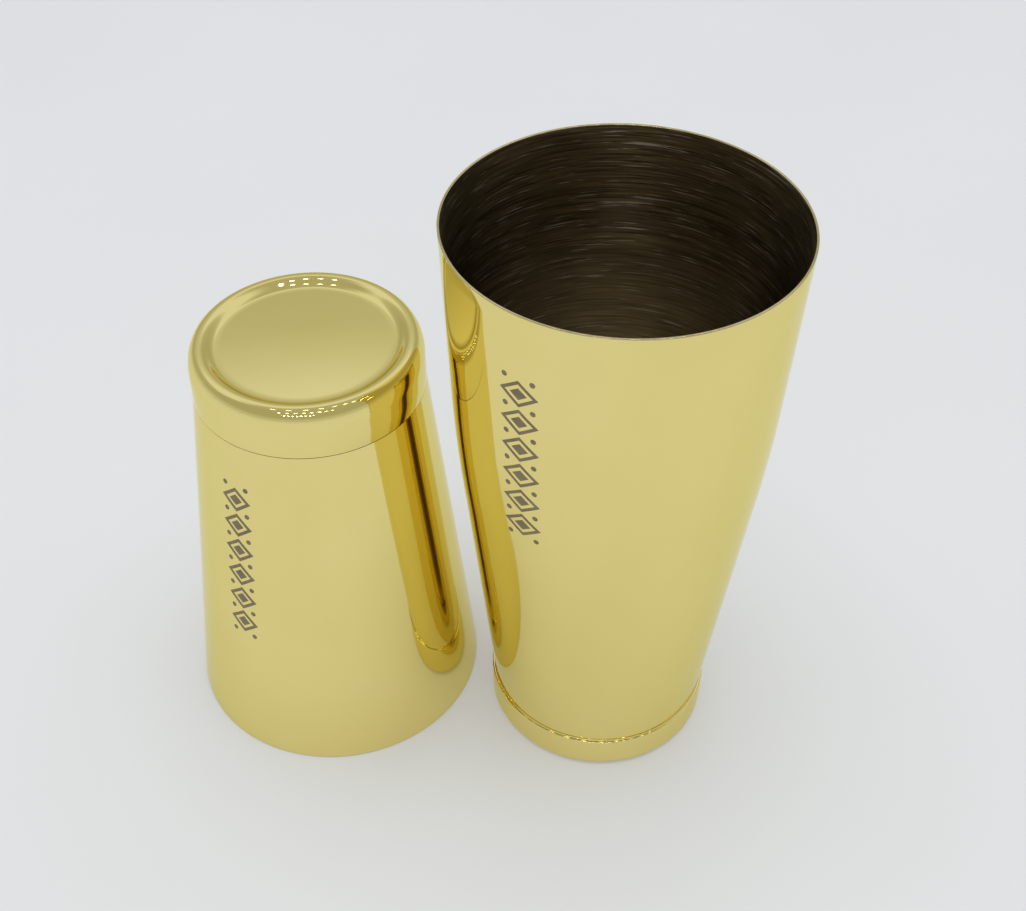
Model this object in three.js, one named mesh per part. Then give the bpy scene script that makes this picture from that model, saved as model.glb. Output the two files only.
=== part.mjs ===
// Tin-on-tin cocktail shaker: two weighted steel tins standing side by side.
// The large tin stands on its base with its mouth up. The small tin stands on its mouth, base up.
// Millimetres, +Z up. The origin is on the table, midway between the outermost sides of the pair.
// Each tin is a drawn cup, a pressed cap welded around its foot, and a weight disc shut in between.

import * as THREE from "three";

// Sheet and fits, the same on both tins
const WALL = 0.7; // drawn cup
const CAP_SHEET = 0.5; // pressed base cap
const FIT_GAP = 0.3; // between cap, weight and cup
const RIM_ROUNDING = 0.2; // polished corners of the trimmed rim
const LIP_ROUNDING = 0.2; // polished outer corner of the cap's lip
const RING_LAND = 0.8; // width of the flat that the raised ring stands on
const CUP_CORNER = 4; // inside the cap, between the cup's bottom and its neck
const WEIGHT_RADIUS = 24;
const WEIGHT_THICKNESS = 2.5;

// A tin is described standing on its base. Radii are of outside surfaces.
const LARGE_TIN = {
  height: 178,
  mouthRadius: 46.3,
  kneeRadius: 43.5, // where the steep lower taper meets the slight upper one
  kneeHeight: 112,
  kneeBlend: 16, // length of wall, each side of the knee, over which the two tapers merge
  wallFootRadius: 32.8, // inside the cap's lip, which so stands proud of the wall
  capHeight: 11.5,
  capLipRadius: 33.6,
  capFootRadius: 33.6,
  capEdgeHeight: 2.6, // of the rounding from the standing ring to the cap's side
  ringRadius: 30.4, // middle of the raised ring that the tin stands on
  recessRadius: 26.4, // edge of the sunk centre
  recessDepth: 2.4,
};
const SMALL_TIN = {
  height: 130.8,
  mouthRadius: 44.9,
  kneeRadius: 38.7,
  kneeHeight: 73.1,
  kneeBlend: 16,
  wallFootRadius: 32.5, // flush with the cap's lip
  capHeight: 15,
  capLipRadius: 32.5,
  capFootRadius: 32.4,
  capEdgeHeight: 6.5,
  ringRadius: 28.9,
  recessRadius: 24.9,
  recessDepth: 1.85,
};

const AXIS_DISTANCE = 85.2; // between the two standing tins

// Fineness of the faceted surfaces
const SIDES = 48;
const CURVE_STEPS = 3;

const LARGE_X = (AXIS_DISTANCE + SMALL_TIN.mouthRadius - LARGE_TIN.mouthRadius) / 2;
const SMALL_X = LARGE_X - AXIS_DISTANCE;

function steel(color, roughness) {
  return new THREE.MeshStandardMaterial({ color, roughness, metalness: 1 });
}

// The solid of revolution about +Z of an outline of [radius, height].
function turned(name, outline, material) {
  const points = outline.getPoints(CURVE_STEPS);
  const geometry = new THREE.LatheGeometry(points, SIDES);
  geometry.rotateX(Math.PI / 2);
  const mesh = new THREE.Mesh(geometry, material);
  mesh.name = name;
  return mesh;
}

// Quarter of an ellipse, from one angle to the next in the outline's own plane.
function quarter(outline, centerX, centerY, radiusX, radiusY, start, clockwise = false) {
  const turn = clockwise ? -Math.PI / 2 : Math.PI / 2;
  outline.absellipse(centerX, centerY, radiusX, radiusY, start, start + turn, clockwise);
}

// Height at which the underside of the cup stands inside its cap.
function cupBottom(tin) {
  return tin.recessDepth + CAP_SHEET + FIT_GAP + WEIGHT_THICKNESS + FIT_GAP;
}

function neckRadius(tin) {
  return tin.capLipRadius - CAP_SHEET - FIT_GAP;
}

// Drawn cup: flat bottom, round corner, neck inside the cap, then the tapered wall up to the rim.
function cupOutline(tin) {
  const bottom = cupBottom(tin);
  const neck = neckRadius(tin);
  const shoulder = tin.capHeight + FIT_GAP;
  const floor = bottom + WALL;
  const cornerHeight = bottom + CUP_CORNER;
  const innerCorner = CUP_CORNER - WALL;

  const lowerSlope = (tin.kneeRadius - tin.wallFootRadius) / (tin.kneeHeight - shoulder);
  const upperSlope = (tin.mouthRadius - tin.kneeRadius) / (tin.height - tin.kneeHeight);
  const kneeStart = tin.kneeHeight - tin.kneeBlend;
  const kneeEnd = tin.kneeHeight + tin.kneeBlend;
  const kneeStartRadius = tin.kneeRadius - lowerSlope * tin.kneeBlend;
  const kneeEndRadius = tin.kneeRadius + upperSlope * tin.kneeBlend;
  const rimTop = tin.height;
  const rimInner = tin.mouthRadius - WALL;
  const round = RIM_ROUNDING;

  const outline = new THREE.Path();
  outline.moveTo(0, bottom);
  outline.lineTo(neck - CUP_CORNER, bottom);
  quarter(outline, neck - CUP_CORNER, cornerHeight, CUP_CORNER, CUP_CORNER, -Math.PI / 2);
  outline.lineTo(neck, shoulder);
  outline.lineTo(tin.wallFootRadius, shoulder);
  outline.lineTo(kneeStartRadius, kneeStart);
  outline.quadraticCurveTo(tin.kneeRadius, tin.kneeHeight, kneeEndRadius, kneeEnd);
  outline.lineTo(tin.mouthRadius, rimTop - round);
  outline.lineTo(tin.mouthRadius - round, rimTop);
  outline.lineTo(rimInner + round, rimTop);
  outline.lineTo(rimInner, rimTop - round);
  outline.lineTo(kneeEndRadius - WALL, kneeEnd);
  outline.quadraticCurveTo(tin.kneeRadius - WALL, tin.kneeHeight, kneeStartRadius - WALL, kneeStart);
  outline.lineTo(tin.wallFootRadius - WALL, shoulder + WALL);
  outline.lineTo(neck - WALL, cornerHeight);
  quarter(outline, neck - CUP_CORNER, cornerHeight, innerCorner, innerCorner, 0, true);
  outline.lineTo(0, floor);
  return outline;
}

// Pressed cap: sunk centre, raised ring that the tin stands on, rounded edge and side up to its lip.
function capOutline(tin) {
  const ringInner = tin.ringRadius - RING_LAND / 2;
  const ringOuter = tin.ringRadius + RING_LAND / 2;
  const third = (ringInner - tin.recessRadius) / 3; // of the slope between sunk centre and ring
  const slopeStart = tin.recessRadius + third;
  const slopeEnd = ringInner - third;
  const edgeWidth = tin.capFootRadius - ringOuter;
  const edgeHeight = tin.capEdgeHeight;
  const sunk = tin.recessDepth;
  const sheet = CAP_SHEET;

  const outline = new THREE.Path();
  outline.moveTo(0, sunk);
  outline.lineTo(tin.recessRadius, sunk);
  outline.bezierCurveTo(slopeStart, sunk, slopeEnd, 0, ringInner, 0);
  outline.lineTo(ringOuter, 0);
  quarter(outline, ringOuter, edgeHeight, edgeWidth, edgeHeight, -Math.PI / 2);
  outline.lineTo(tin.capLipRadius, tin.capHeight - LIP_ROUNDING);
  outline.lineTo(tin.capLipRadius - LIP_ROUNDING, tin.capHeight);
  outline.lineTo(tin.capLipRadius - sheet, tin.capHeight);
  outline.lineTo(tin.capFootRadius - sheet, edgeHeight);
  quarter(outline, ringOuter, edgeHeight, edgeWidth - sheet, edgeHeight - sheet, 0, true);
  outline.lineTo(ringInner, sheet);
  outline.bezierCurveTo(slopeEnd, sheet, slopeStart, sunk + sheet, tin.recessRadius, sunk + sheet);
  outline.lineTo(0, sunk + sheet);
  return outline;
}

function weightOutline(tin) {
  const bottom = tin.recessDepth + CAP_SHEET + FIT_GAP;
  const outline = new THREE.Path();
  outline.moveTo(0, bottom);
  outline.lineTo(WEIGHT_RADIUS, bottom);
  outline.lineTo(WEIGHT_RADIUS, bottom + WEIGHT_THICKNESS);
  outline.lineTo(0, bottom + WEIGHT_THICKNESS);
  return outline;
}

function makeTin(name, tin) {
  const gold = steel(0xd8c878, 0.08);
  const plain = steel(0x9a9a98, 0.4);
  const group = new THREE.Group();
  group.add(turned(name + "_shell", cupOutline(tin), gold));
  group.add(turned(name + "_base_cap", capOutline(tin), gold));
  group.add(turned(name + "_weight", weightOutline(tin), plain));
  return group;
}

const largeTin = makeTin("large_tin", LARGE_TIN);
largeTin.position.set(LARGE_X, 0, 0);

const smallTin = makeTin("small_tin", SMALL_TIN);
smallTin.rotation.x = Math.PI;
smallTin.position.set(SMALL_X, 0, SMALL_TIN.height);

const shaker = new THREE.Group();
shaker.add(largeTin, smallTin);

export default shaker;
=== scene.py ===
"""Looks of a tin-on-tin cocktail shaker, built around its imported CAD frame. Metres, +Z up.

Each tin is described standing on its base, as an outline of (radius, height) turned about its axis.
The large tin stands that way up. The small tin is turned over, so its heights run down from its top.
"""

import math

import bmesh
import bpy
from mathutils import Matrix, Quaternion, Vector


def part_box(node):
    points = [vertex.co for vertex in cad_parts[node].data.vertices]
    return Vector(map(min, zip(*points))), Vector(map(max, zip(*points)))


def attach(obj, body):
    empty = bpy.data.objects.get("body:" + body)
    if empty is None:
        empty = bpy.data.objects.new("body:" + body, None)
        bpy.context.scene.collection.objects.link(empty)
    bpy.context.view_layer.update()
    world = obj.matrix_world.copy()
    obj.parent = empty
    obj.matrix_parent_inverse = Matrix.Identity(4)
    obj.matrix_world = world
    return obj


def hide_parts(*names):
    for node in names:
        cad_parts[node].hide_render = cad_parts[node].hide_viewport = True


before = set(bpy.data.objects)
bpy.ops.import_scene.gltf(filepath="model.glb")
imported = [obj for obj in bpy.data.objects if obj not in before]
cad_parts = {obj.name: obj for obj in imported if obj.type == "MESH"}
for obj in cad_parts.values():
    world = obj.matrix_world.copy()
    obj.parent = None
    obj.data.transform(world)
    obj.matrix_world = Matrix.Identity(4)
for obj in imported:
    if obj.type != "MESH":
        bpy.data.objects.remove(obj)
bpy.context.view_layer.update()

MM = 0.001

# Sheet and fits, the same on both tins
WALL = 0.7 * MM
CAP_SHEET = 0.5 * MM
FIT_GAP = 0.3 * MM
SEAM_GAP = 0.08 * MM
RIM_ROUNDING = 0.3 * MM
DISC_CROWN = 0.25 * MM
RING_LAND = 0.8 * MM
CUP_CORNER = 4 * MM
WEIGHT_THICKNESS = 2.5 * MM
KNEE_BLEND = 16 * MM  # length of wall, each side of the knee, over which the two tapers merge
FLARE_RISE = 2.0  # height of the wall's flared foot over its reach

# Fineness of the turned surfaces
SIDES = 256
WALL_STEP = 4 * MM
CURVE_STEPS = 14
ROUNDING_STEPS = 5
SHARP_ANGLE = math.radians(35)

# Material slots of a turned piece
OUTSIDE, EDGE, INSIDE = range(3)

# Etched ornament: a column of open lozenges, each with a small solid one in it
ETCH_DEPTH = 0.05 * MM
ETCH_PROUD = 0.03 * MM
LOZENGES = 6
LOZENGE_PITCH = 9.2 * MM
LOZENGE_GAP = 0.75 * MM  # between one lozenge and the next
LOZENGE_LINE = 1.5 * MM
LOZENGE_CORE = 0.44  # size of the solid one, as a share of the open one
LOZENGE_EDGE_STEPS = 8
DOT_RADIUS = 0.8 * MM
DOT_OUT = 0.72  # how far out the dots stand, as a share of the lozenge's half width
DOT_SIDES = 16

# Camera: where it looks, from what angle and how far off
AIM = Vector((12.3, 11.2, 85.0)) * MM
CAMERA_AZIMUTH = 9.21
CAMERA_ELEVATION = 43.08
CAMERA_ROLL = 0.29
CAMERA_DISTANCE = 0.4249
CAMERA_LENS = 50.56
SENSOR_WIDTH = 36.0


class Tin:
    """One tin's place and driving sizes. What the frame can say comes from the frame."""

    def __init__(self, name, upside_down, knee, wall_foot, cap_foot, cap_edge, lip, ring, recess, sunk):
        self.name = name
        self.upside_down = upside_down
        low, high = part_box(name + "_shell")
        cap_low, cap_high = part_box(name + "_base_cap")
        self.axis = (low.x + high.x) / 2
        self.height = cap_high.z if upside_down else high.z
        self.mouth = (high.x - low.x) / 2
        self.cap_height = cap_high.z - cap_low.z
        self.cap_lip = (cap_high.x - cap_low.x) / 2
        self.knee = tuple(v * MM for v in knee)
        self.wall_foot = wall_foot * MM
        self.cap_foot = cap_foot * MM
        self.cap_edge = cap_edge * MM
        self.lip_rounding = lip * MM
        self.ring = ring * MM
        self.recess = recess * MM
        self.sunk = sunk * MM
        self.neck = self.cap_lip - CAP_SHEET - FIT_GAP
        self.shoulder = self.cap_height + SEAM_GAP
        self.cup_bottom = self.sunk + CAP_SHEET + WEIGHT_THICKNESS + 2 * FIT_GAP

    def place(self, radius, angle, height):
        """The point in the row frame at this radius and angle, and height above the tin's base."""
        z = self.height - height if self.upside_down else height
        return Vector((self.axis + radius * math.cos(angle), radius * math.sin(angle), z))


LARGE = Tin(
    "large_tin",
    upside_down=False,
    knee=(43.5, 112),
    wall_foot=32.8,
    cap_foot=33.6,
    cap_edge=2.6,
    lip=0.45,
    ring=30.4,
    recess=26.4,
    sunk=2.4,
)
SMALL = Tin(
    "small_tin",
    upside_down=True,
    knee=(38.7, 73.1),
    wall_foot=32.5,
    cap_foot=32.4,
    cap_edge=6.5,
    lip=0.15,
    ring=28.9,
    recess=24.9,
    sunk=1.85,
)


# Stretches of an outline. Each leaves out its first point.


def straight(start, end, step=WALL_STEP):
    count = max(1, round(math.dist(start, end) / step))
    return [tuple(a + (b - a) * i / count for a, b in zip(start, end)) for i in range(1, count + 1)]


def quarter(center, radii, start, turn, count=CURVE_STEPS):
    """A quarter of an ellipse, from the angle start in degrees, anticlockwise for turn 1."""
    angles = [math.radians(start + turn * 90 * i / count) for i in range(1, count + 1)]
    return [(center[0] + radii[0] * math.cos(a), center[1] + radii[1] * math.sin(a)) for a in angles]


def bezier(controls, count=CURVE_STEPS):
    """A Bezier curve of any degree, by de Casteljau's steps."""
    points = []
    for i in range(1, count + 1):
        left = controls
        while len(left) > 1:
            left = [tuple(a + (b - a) * i / count for a, b in zip(p, q)) for p, q in zip(left, left[1:])]
        points.append(left[0])
    return points


def wall_line(tin, inset):
    """The tapered wall from its foot to just under the rim, inset from the outside surface."""
    foot = (tin.wall_foot - inset, tin.shoulder + inset)
    knee = (tin.knee[0] - inset, tin.knee[1])
    top = (tin.mouth - inset, tin.height - RIM_ROUNDING)
    lower = (tin.knee[0] - tin.wall_foot) / (tin.knee[1] - tin.shoulder)
    upper = (tin.mouth - tin.knee[0]) / (tin.height - tin.knee[1])
    bend = (knee[0] - lower * KNEE_BLEND, knee[1] - KNEE_BLEND)
    rise = (knee[0] + upper * KNEE_BLEND, knee[1] + KNEE_BLEND)
    return [foot] + straight(foot, bend) + bezier([bend, knee, rise]) + straight(rise, top)


def flared(wall, reach):
    """The wall with its foot curving out by this reach, to meet the proud lip of its cap."""
    foot, above = wall[:2]
    share = FLARE_RISE * reach / (above[1] - foot[1])
    end = tuple(a + (b - a) * share for a, b in zip(foot, above))
    start = (foot[0] + reach, foot[1])
    return [start] + bezier([start, foot, end]) + wall[1:]


def cup_outline(tin):
    """The drawn cup, from under its middle up the outside, over the rim and down the inside."""
    bottom = tin.cup_bottom
    corner_center = (tin.neck - CUP_CORNER, bottom + CUP_CORNER)
    outer_corner = (CUP_CORNER, CUP_CORNER)
    inner_corner = (CUP_CORNER - WALL, CUP_CORNER - WALL)
    rim_height = tin.height - RIM_ROUNDING
    rounding = (RIM_ROUNDING, RIM_ROUNDING)
    outer_edge = (tin.mouth - RIM_ROUNDING, tin.height)
    inner_edge = (tin.mouth - WALL + RIM_ROUNDING, tin.height)

    outside = [(0, bottom)] + straight((0, bottom), (corner_center[0], bottom))
    outside += quarter(corner_center, outer_corner, -90, 1)
    outside += straight(outside[-1], (tin.neck, tin.shoulder))
    wall = wall_line(tin, 0)
    proud = tin.cap_lip - tin.lip_rounding - tin.wall_foot
    outside += flared(wall, proud) if proud > 0 else wall
    edge = quarter((outer_edge[0], rim_height), rounding, 0, 1, ROUNDING_STEPS)
    edge += straight(outer_edge, inner_edge)
    edge += quarter((inner_edge[0], rim_height), rounding, 90, 1, ROUNDING_STEPS)
    inside = wall_line(tin, WALL)[-2::-1]
    inside += straight(inside[-1], (tin.neck - WALL, corner_center[1]))
    inside += quarter(corner_center, inner_corner, 0, -1)
    inside += straight(inside[-1], (0, bottom + WALL))
    return [(outside, OUTSIDE), (edge, EDGE), (inside, INSIDE)]


def cap_outline(tin):
    """The pressed cap, from the middle of its sunk centre over the ring, up to the lip and back."""
    ring_inner = tin.ring - RING_LAND / 2
    ring_outer = tin.ring + RING_LAND / 2
    third = (ring_inner - tin.recess) / 3
    edge_center = (ring_outer, tin.cap_edge)
    edge_width = tin.cap_foot - ring_outer
    lip_center = (tin.cap_lip - tin.lip_rounding, tin.cap_height - tin.lip_rounding)
    lip_inner = (tin.cap_lip - CAP_SHEET, tin.cap_height)

    def slope(lift):
        start, end = (tin.recess, tin.sunk + lift), (ring_inner, lift)
        return [start, (start[0] + third, start[1]), (end[0] - third, end[1]), end]

    def crown(lift):
        """The sunk centre, pressed very slightly outwards in the middle."""
        middle_height = tin.sunk - DISC_CROWN + lift
        return [(0, middle_height), (tin.recess / 2, middle_height), (tin.recess, tin.sunk + lift)]

    outside = [(0, tin.sunk - DISC_CROWN)] + bezier(crown(0))
    outside += bezier(slope(0))
    outside += straight(outside[-1], (ring_outer, 0))
    outside += quarter(edge_center, (edge_width, tin.cap_edge), -90, 1)
    outside += straight(outside[-1], (tin.cap_lip, lip_center[1]))
    outside += quarter(lip_center, (tin.lip_rounding,) * 2, 0, 1, ROUNDING_STEPS)
    outside += straight(outside[-1], lip_inner)
    inside = straight(lip_inner, (tin.cap_foot - CAP_SHEET, tin.cap_edge))
    inside += quarter(edge_center, (edge_width - CAP_SHEET, tin.cap_edge - CAP_SHEET), 0, -1)
    inside += straight(inside[-1], (ring_inner, CAP_SHEET))
    inside += bezier(slope(CAP_SHEET)[::-1])
    inside += bezier(crown(CAP_SHEET)[::-1])
    return [(outside, OUTSIDE), (inside, INSIDE)]


# Meshes


def bridge(bm, ring, next_ring, slot=0):
    """Faces between two rings of vertices, either of which may be a single vertex."""
    count = max(len(ring), len(next_ring))
    for i in range(count):
        j = (i + 1) % count
        corners = [
            ring[i % len(ring)],
            ring[j % len(ring)],
            next_ring[j % len(next_ring)],
            next_ring[i % len(next_ring)],
        ]
        face = bm.faces.new(dict.fromkeys(corners))
        face.material_index = slot
        face.smooth = True


def finished(bm, name, materials):
    """The mesh as an object of the scene, faces out, with only its true corners sharp."""
    bmesh.ops.recalc_face_normals(bm, faces=bm.faces)
    mesh = bpy.data.meshes.new(name)
    bm.to_mesh(mesh)
    bm.free()
    mesh.set_sharp_from_angle(angle=SHARP_ANGLE)
    for material in materials:
        mesh.materials.append(material)
    obj = bpy.data.objects.new(name, mesh)
    bpy.context.scene.collection.objects.link(obj)
    return obj


def turned(name, tin, outline, materials):
    bm = bmesh.new()
    ring = None
    for points, slot in outline:
        for radius, height in points:
            sides = SIDES if radius > 0 else 1
            vertices = [tin.place(radius, math.tau * i / sides, height) for i in range(sides)]
            next_ring = [bm.verts.new(v) for v in vertices]
            if ring:
                bridge(bm, ring, next_ring, slot)
            ring = next_ring
    return finished(bm, name, materials)


def radius_at(line, height):
    """Radius of an outline of rising heights at this height."""
    for (r0, h0), (r1, h1) in zip(line, line[1:]):
        if h0 <= height <= h1:
            return r0 + (r1 - r0) * (height - h0) / (h1 - h0)
    raise ValueError(f"no wall at height {height}")


def lozenge(half_width, half_height):
    """Outline of a lozenge about the origin."""
    corners = [(half_width, 0), (0, half_height), (-half_width, 0), (0, -half_height)]
    points = []
    for start, end in zip(corners, corners[1:] + corners[:1]):
        points += straight(start, end, math.dist(start, end) / LOZENGE_EDGE_STEPS)
    return points


def dot(radius):
    return [
        (radius * math.cos(math.tau * i / DOT_SIDES), radius * math.sin(math.tau * i / DOT_SIDES))
        for i in range(DOT_SIDES)
    ]


def scaled(outline, factor):
    return [(x * factor, y * factor) for x, y in outline]


def etched(name, tin, angle, middle_height, half_width, material):
    """The ornament as thin plates that follow the tin's wall, centred at this angle and height."""
    bm = bmesh.new()
    line = wall_line(tin, 0)

    def loop(outline, center, lift):
        ring = []
        for x, y in outline:
            height = middle_height + center[1] + y
            radius = radius_at(line, height)
            turn = angle + (center[0] + x) / radius
            ring.append(bm.verts.new(tin.place(radius + lift, turn, height)))
        return ring

    def plate(outlines, center):
        """outlines run from the outer one inwards, to a point for a solid shape."""
        rings = [loop(outline, center, ETCH_PROUD) for outline in outlines]
        rings += [loop(outline, center, -ETCH_DEPTH) for outline in outlines[::-1]]
        for i in range(len(rings)):
            ring, next_ring = rings[i - 1], rings[i]
            if len(ring) > 1 or len(next_ring) > 1:
                bridge(bm, ring, next_ring)

    frame_outline = lozenge(half_width, (LOZENGE_PITCH - LOZENGE_GAP) / 2)
    inner_share = 1 - LOZENGE_LINE / half_width
    core = scaled(frame_outline, LOZENGE_CORE)
    for i in range(LOZENGES):
        center = (0, (i - (LOZENGES - 1) / 2) * LOZENGE_PITCH)
        plate([frame_outline, scaled(frame_outline, inner_share)], center)
        plate([core, scaled(core, 0.5), [(0, 0)]], center)
    for i in range(LOZENGES + 1):
        for side in (-1, 1):
            center = (side * half_width * DOT_OUT, (i - LOZENGES / 2) * LOZENGE_PITCH)
            plate([dot(DOT_RADIUS), [(0, 0)]], center)
    return finished(bm, name, [material])


# Materials

# Sockets of a Mix node that mixes colours: its two colours, and the result
MIX_FIRST, MIX_SECOND, MIX_RESULT = 6, 7, 2


class Nodes:
    """A material's node tree, with short ways to add and link nodes."""

    def __init__(self, name):
        self.material = bpy.data.materials.new(name)
        self.material.use_nodes = True
        self.tree = self.material.node_tree
        self.shader = self.tree.nodes["Principled BSDF"]

    def add(self, kind, settings=None, **inputs):
        node = self.tree.nodes.new("ShaderNode" + kind)
        for key, value in (settings or {}).items():
            setattr(node, key, value)
        for key, value in inputs.items():
            self.set(node, key.replace("_", " "), value)
        return node

    def set(self, node, socket, value):
        """Sets a socket to a value, or links another node's first output to it."""
        if isinstance(value, bpy.types.Node):
            value = value.outputs[0]
        if isinstance(value, bpy.types.NodeSocket):
            self.tree.links.new(value, node.inputs[socket])
        else:
            node.inputs[socket].default_value = value

    def shade(self, **inputs):
        for key, value in inputs.items():
            self.set(self.shader, key.replace("_", " "), value)

    def noise(self, stretch, detail=2.0, roughness=0.5):
        """Noise over the object's own metres, with this many features per metre along x, y and z."""
        coordinates = self.add("TexCoord").outputs["Object"]
        mapped = self.add("Mapping", Vector=coordinates, Scale=stretch)
        return self.add("TexNoise", Vector=mapped, Scale=1.0, Detail=detail, Roughness=roughness)

    def ramp(self, factor, *stops):
        """Colour ramp of (position, colour) stops."""
        node = self.add("ValToRGB", Fac=factor)
        elements = node.color_ramp.elements
        while len(elements) < len(stops):
            elements.new(0.5)
        for element, (position, color) in zip(elements, stops):
            element.position = position
            element.color = (*color, 1.0)
        return node

    def spread(self, factor, low, high):
        """The factor's middle range spread from low to high."""
        node = self.add("MapRange", {"clamp": True}, Value=factor)
        for socket, value in (("From Min", 0.3), ("From Max", 0.7), ("To Min", low), ("To Max", high)):
            node.inputs[socket].default_value = value
        return node

    def share_below(self, top, bottom):
        """From 0 at the height top to 1 at the height bottom, in the row frame."""
        position = self.add("SeparateXYZ", Vector=self.add("TexCoord").outputs["Object"])
        node = self.add("MapRange", {"clamp": True}, Value=position.outputs["Z"])
        node.inputs["From Min"].default_value = top
        node.inputs["From Max"].default_value = bottom
        return node

    def mix(self, first, second, share):
        """The first colour at share 0, the second at share 1."""
        node = self.add("Mix", {"data_type": "RGBA"}, Factor=share)
        self.set(node, MIX_FIRST, first)
        self.set(node, MIX_SECOND, second)
        return node.outputs[MIX_RESULT]

    def bump(self, height, strength, distance):
        return self.add("Bump", Height=height, Strength=strength, Distance=distance)


# The plating's tint where it is seen at a grazing angle
GRAZING_TINT = (0.92, 0.90, 0.66, 1.0)
# Painted glow: a trace of light given off by the gold itself, for the endless reflections between the
# two tins that a renderer cuts short
PAINTED_GLOW = (0.010, 0.0055, 0.0004, 1.0)


def polished_gold():
    """Gold-coloured plating over mirror-polished steel, with faint polishing lines around the tin and a
    faint painted glow all over.
    """
    made = Nodes("polished_gold")
    cloud = made.noise((28, 28, 22))
    lines = made.noise((55, 55, 2600), detail=3)
    color = made.ramp(cloud, (0.35, (0.84, 0.72, 0.275)), (0.65, (0.86, 0.74, 0.295)))
    made.shade(
        Base_Color=color,
        Metallic=1.0,
        Roughness=made.spread(lines, 0.02, 0.05),
        Specular_Tint=GRAZING_TINT,
        Normal=made.bump(lines, 0.03, 0.00001),
        # painted glow, standing in for the reflections between the tins
        Emission_Color=PAINTED_GLOW,
        Emission_Strength=1.0,
    )
    return made.material


# Heights between which the brushed inside grows rougher downwards, and its painted shade lighter, and by
# how much rougher
PAINTED_SHADE_FULL_ABOVE = 0.150
PAINTED_SHADE_LEAST_BELOW = 0.085
BRUSHED_ROUGHER = 0.16
# Colour of the scratches, painted bright as their glints: painted highlight
SCRATCH_GLINT_COLOR = (0.60, 0.55, 0.46, 1.0)


def brushed_inside():
    """Bare steel inside the tins, brushed around them, its colour painted dark as shade, most of all
    towards the mouth, with scattered scratches painted brighter as their glints.
    """
    made = Nodes("brushed_inside")
    fine = made.noise((60, 60, 2500), detail=4)
    scratches = made.noise((80, 80, 2200), detail=2)
    low = made.share_below(PAINTED_SHADE_FULL_ABOVE, PAINTED_SHADE_LEAST_BELOW)
    # painted shade: the steel's colour darkened, darkest near the mouth and lighter lower down
    dark = made.ramp(fine, (0.3, (0.085, 0.064, 0.032)), (0.7, (0.25, 0.188, 0.098)))
    light = made.ramp(fine, (0.3, (0.34, 0.262, 0.150)), (0.7, (0.60, 0.465, 0.27)))
    # painted highlight: where the scratches glint
    scratch_glints = made.ramp(scratches, (0.63, (0.0, 0.0, 0.0)), (0.70, (1.0, 1.0, 1.0)))
    metal = made.mix(dark, light, low)
    rough = made.add("Math", {"operation": "MULTIPLY_ADD"})
    made.set(rough, 0, low)
    made.set(rough, 1, BRUSHED_ROUGHER)
    made.set(rough, 2, made.spread(fine, 0.26, 0.34))
    made.shade(
        Base_Color=made.mix(metal, SCRATCH_GLINT_COLOR, scratch_glints),
        Metallic=1.0,
        Roughness=rough,
        Anisotropic=1.0,
        Anisotropic_Rotation=0.25,
        Normal=made.bump(fine, 0.5, 0.00003),
        Tangent=made.add("Tangent", {"direction_type": "RADIAL", "axis": "Z"}),
    )
    return made.material


def shade_painted_rim():
    """The plated rim, polished less finely than the walls, and painted a darker gold than theirs:
    painted shade along the rim.
    """
    made = Nodes("shade_painted_rim")
    grain = made.noise((900, 900, 900), detail=3)
    # painted shade: a darker gold than the walls'
    color = made.ramp(grain, (0.35, (0.60, 0.52, 0.27)), (0.65, (0.67, 0.58, 0.32)))
    made.shade(Base_Color=color, Metallic=1.0, Roughness=made.spread(grain, 0.08, 0.14))
    return made.material


def etched_steel():
    """Laser-etched marking: matt grey-brown, with the fine lines of the laser's passes."""
    made = Nodes("etched_steel")
    passes = made.noise((300, 300, 6000), detail=2)
    cloud = made.noise((160, 160, 160), detail=3)
    mixed = made.add("Math", {"operation": "ADD"})
    made.set(mixed, 0, passes)
    made.set(mixed, 1, cloud)
    half = made.add("Math", {"operation": "MULTIPLY"})
    made.set(half, 0, mixed)
    made.set(half, 1, 0.5)
    color = made.ramp(half, (0.35, (0.20, 0.155, 0.095)), (0.65, (0.32, 0.26, 0.165)))
    made.shade(
        Base_Color=color,
        Metallic=0.35,
        Roughness=made.spread(cloud, 0.55, 0.75),
        Normal=made.bump(passes, 0.3, 0.00003),
    )
    return made.material


def plain_steel():
    """Rough-turned steel of the shut-in weights."""
    made = Nodes("plain_steel")
    grain = made.noise((500, 500, 500), detail=4)
    color = made.ramp(grain, (0.3, (0.36, 0.36, 0.35)), (0.7, (0.52, 0.52, 0.50)))
    made.shade(
        Base_Color=color,
        Metallic=0.9,
        Roughness=made.spread(grain, 0.35, 0.55),
        Normal=made.bump(grain, 0.2, 0.0001),
    )
    return made.material


# Light of the floor itself, as of a light table, so that the shadows on it stay soft
FLOOR_GLOW = (0.185, 0.188, 0.192, 1.0)


def pale_floor():
    """Matt pale board with faint clouds in it."""
    made = Nodes("pale_floor")
    cloud = made.noise((6, 6, 6))
    color = made.ramp(cloud, (0.3, (0.605, 0.620, 0.635)), (0.7, (0.620, 0.635, 0.650)))
    made.shade(
        Base_Color=color,
        Roughness=0.7,
        Specular_IOR_Level=0.2,
        Emission_Color=FLOOR_GLOW,
        Emission_Strength=1.0,
    )
    return made.material


# Studio


FLOOR_RADIUS = 12.0
FLOOR_SIDES = 96
FLOOR_DROP = 0.05 * MM  # below the object, so that no two faces share a plane


def make_floor():
    bm = bmesh.new()
    bmesh.ops.create_circle(bm, cap_ends=True, segments=FLOOR_SIDES, radius=FLOOR_RADIUS)
    for vertex in bm.verts:
        vertex.co.z = -FLOOR_DROP
    floor = finished(bm, "floor", [pale_floor()])


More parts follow.
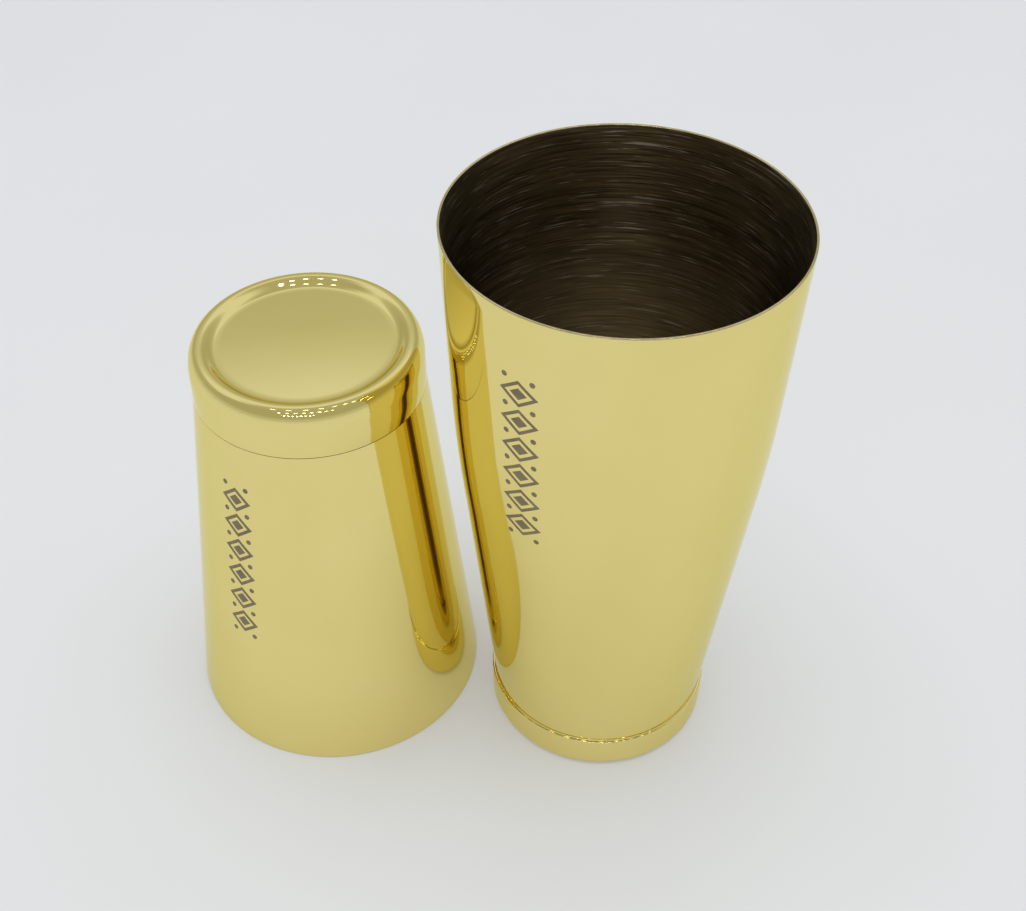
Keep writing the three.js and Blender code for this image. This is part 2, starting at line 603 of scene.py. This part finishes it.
def area_light(name, location, width, depth, power, color=(1.0, 1.0, 1.0)):
    """A rectangular light that faces the middle of the object."""
    light = bpy.data.lights.new(name, "AREA")
    light.shape = "RECTANGLE"
    light.size = width
    light.size_y = depth
    light.energy = power
    light.color = color
    obj = bpy.data.objects.new(name, light)
    obj.location = location
    obj.rotation_mode = "QUATERNION"
    obj.rotation_quaternion = (AIM - Vector(location)).to_track_quat("-Z", "Y")
    bpy.context.scene.collection.objects.link(obj)
    return obj


# Brightness of the room by the sine of the elevation, towards the far side and behind the camera
FAR_SIDE = (
    (0.0, 0.62),
    (0.15, 0.47),
    (0.3, 0.45),
    (0.5, 0.5),
    (0.6, 0.57),
    (0.68, 0.8),
    (0.84, 0.8),
    (0.93, 0.5),
    (1.0, 0.48),
)
NEAR_SIDE = ((0.0, 0.62), (0.15, 0.46), (0.3, 0.44), (0.8, 0.45), (1.0, 0.48))
# Between these y of the direction, one side gives way to the other
SIDES_MEET = (-0.25, 0.05)
# Brightness and colour of its darker and its brighter parts
DIM_ROOM = (0.4, (1.0, 0.99, 0.84, 1.0))
BRIGHT_ROOM = (0.76, (1.0, 1.02, 1.1, 1.0))


def make_world():
    """A plain room, brightest high up on the far side."""
    world = bpy.data.worlds.new("studio")
    world.use_nodes = True
    bpy.context.scene.world = world
    tree = world.node_tree
    direction = tree.nodes.new("ShaderNodeTexCoord")
    parts = tree.nodes.new("ShaderNodeSeparateXYZ")
    tree.links.new(direction.outputs["Generated"], parts.inputs[0])

    def side(stops):
        curve = tree.nodes.new("ShaderNodeFloatCurve")
        points = curve.mapping.curves[0].points
        curve.mapping.clip_max_y = 2.0
        curve.mapping.extend = "HORIZONTAL"
        for x, y in stops[1:-1]:
            points.new(x, y)
        for point, location in zip(points, stops):
            point.location = location
            point.handle_type = "VECTOR"
        curve.mapping.update()
        tree.links.new(parts.outputs["Z"], curve.inputs["Value"])
        return curve.outputs[0]

    facing = tree.nodes.new("ShaderNodeMapRange")
    facing.interpolation_type = "SMOOTHSTEP"
    facing.inputs["From Min"].default_value = SIDES_MEET[0]
    facing.inputs["From Max"].default_value = SIDES_MEET[1]
    tree.links.new(parts.outputs["Y"], facing.inputs["Value"])
    mix = tree.nodes.new("ShaderNodeMix")
    tree.links.new(facing.outputs[0], mix.inputs["Factor"])
    tree.links.new(side(NEAR_SIDE), mix.inputs["A"])
    tree.links.new(side(FAR_SIDE), mix.inputs["B"])
    tint = tree.nodes.new("ShaderNodeMix")
    tint.data_type = "RGBA"
    brightness = tree.nodes.new("ShaderNodeMapRange")
    tree.links.new(mix.outputs[0], brightness.inputs["Value"])
    ends = ((DIM_ROOM, "From Min", MIX_FIRST), (BRIGHT_ROOM, "From Max", MIX_SECOND))
    for (strength, color), limit, socket in ends:
        brightness.inputs[limit].default_value = strength
        tint.inputs[socket].default_value = color
    tree.links.new(brightness.outputs[0], tint.inputs["Factor"])
    background = tree.nodes["Background"]
    tree.links.new(tint.outputs[MIX_RESULT], background.inputs["Color"])
    tree.links.new(mix.outputs[0], background.inputs["Strength"])


# Ceiling lamps: the y of each row, which runs along x, and the power of each of its lamps
LAMP_ROWS = ((-0.34, 0.12), (-1.5, 0.25), (-3.4, 0.5))
LAMP_HEIGHT = 1.6
LAMP_SIZE = 0.07
LAMP_SPACING = 0.23
LAMPS_FROM = -0.5  # x of each row's first lamp
LAMPS_PER_ROW = 8
SOFTBOX_AT = (0.0, 0.0, 2.0)
SOFTBOX_SIZE = 1.5
SOFTBOX_POWER = 15.2
SOFTBOX_COLOR = (1.0, 1.0, 1.08)


def make_lights():
    """Rows of ceiling lamps that run away behind the camera, and a softbox that no metal mirrors."""
    for row, (y, power) in enumerate(LAMP_ROWS):
        for i in range(LAMPS_PER_ROW):
            location = (LAMPS_FROM + LAMP_SPACING * i, y, LAMP_HEIGHT)
            area_light(f"lamp_{row}_{i}", location, LAMP_SIZE, LAMP_SIZE, power)
    softbox = area_light("softbox", SOFTBOX_AT, SOFTBOX_SIZE, SOFTBOX_SIZE, SOFTBOX_POWER, SOFTBOX_COLOR)
    softbox.visible_glossy = False


def make_camera():
    azimuth, elevation = math.radians(CAMERA_AZIMUTH), math.radians(CAMERA_ELEVATION)
    level = math.cos(elevation)
    back = Vector((math.sin(azimuth) * level, -math.cos(azimuth) * level, math.sin(elevation)))
    data = bpy.data.cameras.new("camera")
    data.lens = CAMERA_LENS
    data.sensor_width = SENSOR_WIDTH
    data.clip_start = 0.01
    camera = bpy.data.objects.new("camera", data)
    camera.location = AIM + back * CAMERA_DISTANCE
    camera.rotation_mode = "QUATERNION"
    roll = Quaternion((0, 0, 1), math.radians(CAMERA_ROLL))
    camera.rotation_quaternion = (-back).to_track_quat("-Z", "Y") @ roll
    bpy.context.scene.collection.objects.link(camera)
    bpy.context.scene.camera = camera


# The object

# Angle about the tin, height above its base and half width of each ornament
ORNAMENTS = {
    "large_tin": (math.radians(-116.3), 131 * MM, 5.6 * MM),
    "small_tin": (math.radians(-114.5), 57 * MM, 5.0 * MM),
}


def make_tins():
    gold, inside, edge = polished_gold(), brushed_inside(), shade_painted_rim()
    marking, steel = etched_steel(), plain_steel()
    for tin in (LARGE, SMALL):
        shell = turned(tin.name + "_cup", tin, cup_outline(tin), [gold, edge, inside])
        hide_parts(tin.name + "_shell")
        cap = turned(tin.name + "_cap", tin, cap_outline(tin), [gold, edge, inside])
        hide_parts(tin.name + "_base_cap")
        mark = etched(tin.name + "_ornament", tin, *ORNAMENTS[tin.name], marking)
        for piece in (shell, cap, mark):
            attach(piece, tin.name)
        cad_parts[tin.name + "_weight"].material_slots[0].material = steel


bpy.context.scene.view_settings.view_transform = "Standard"
make_camera()
make_world()
make_lights()
make_floor()
make_tins()
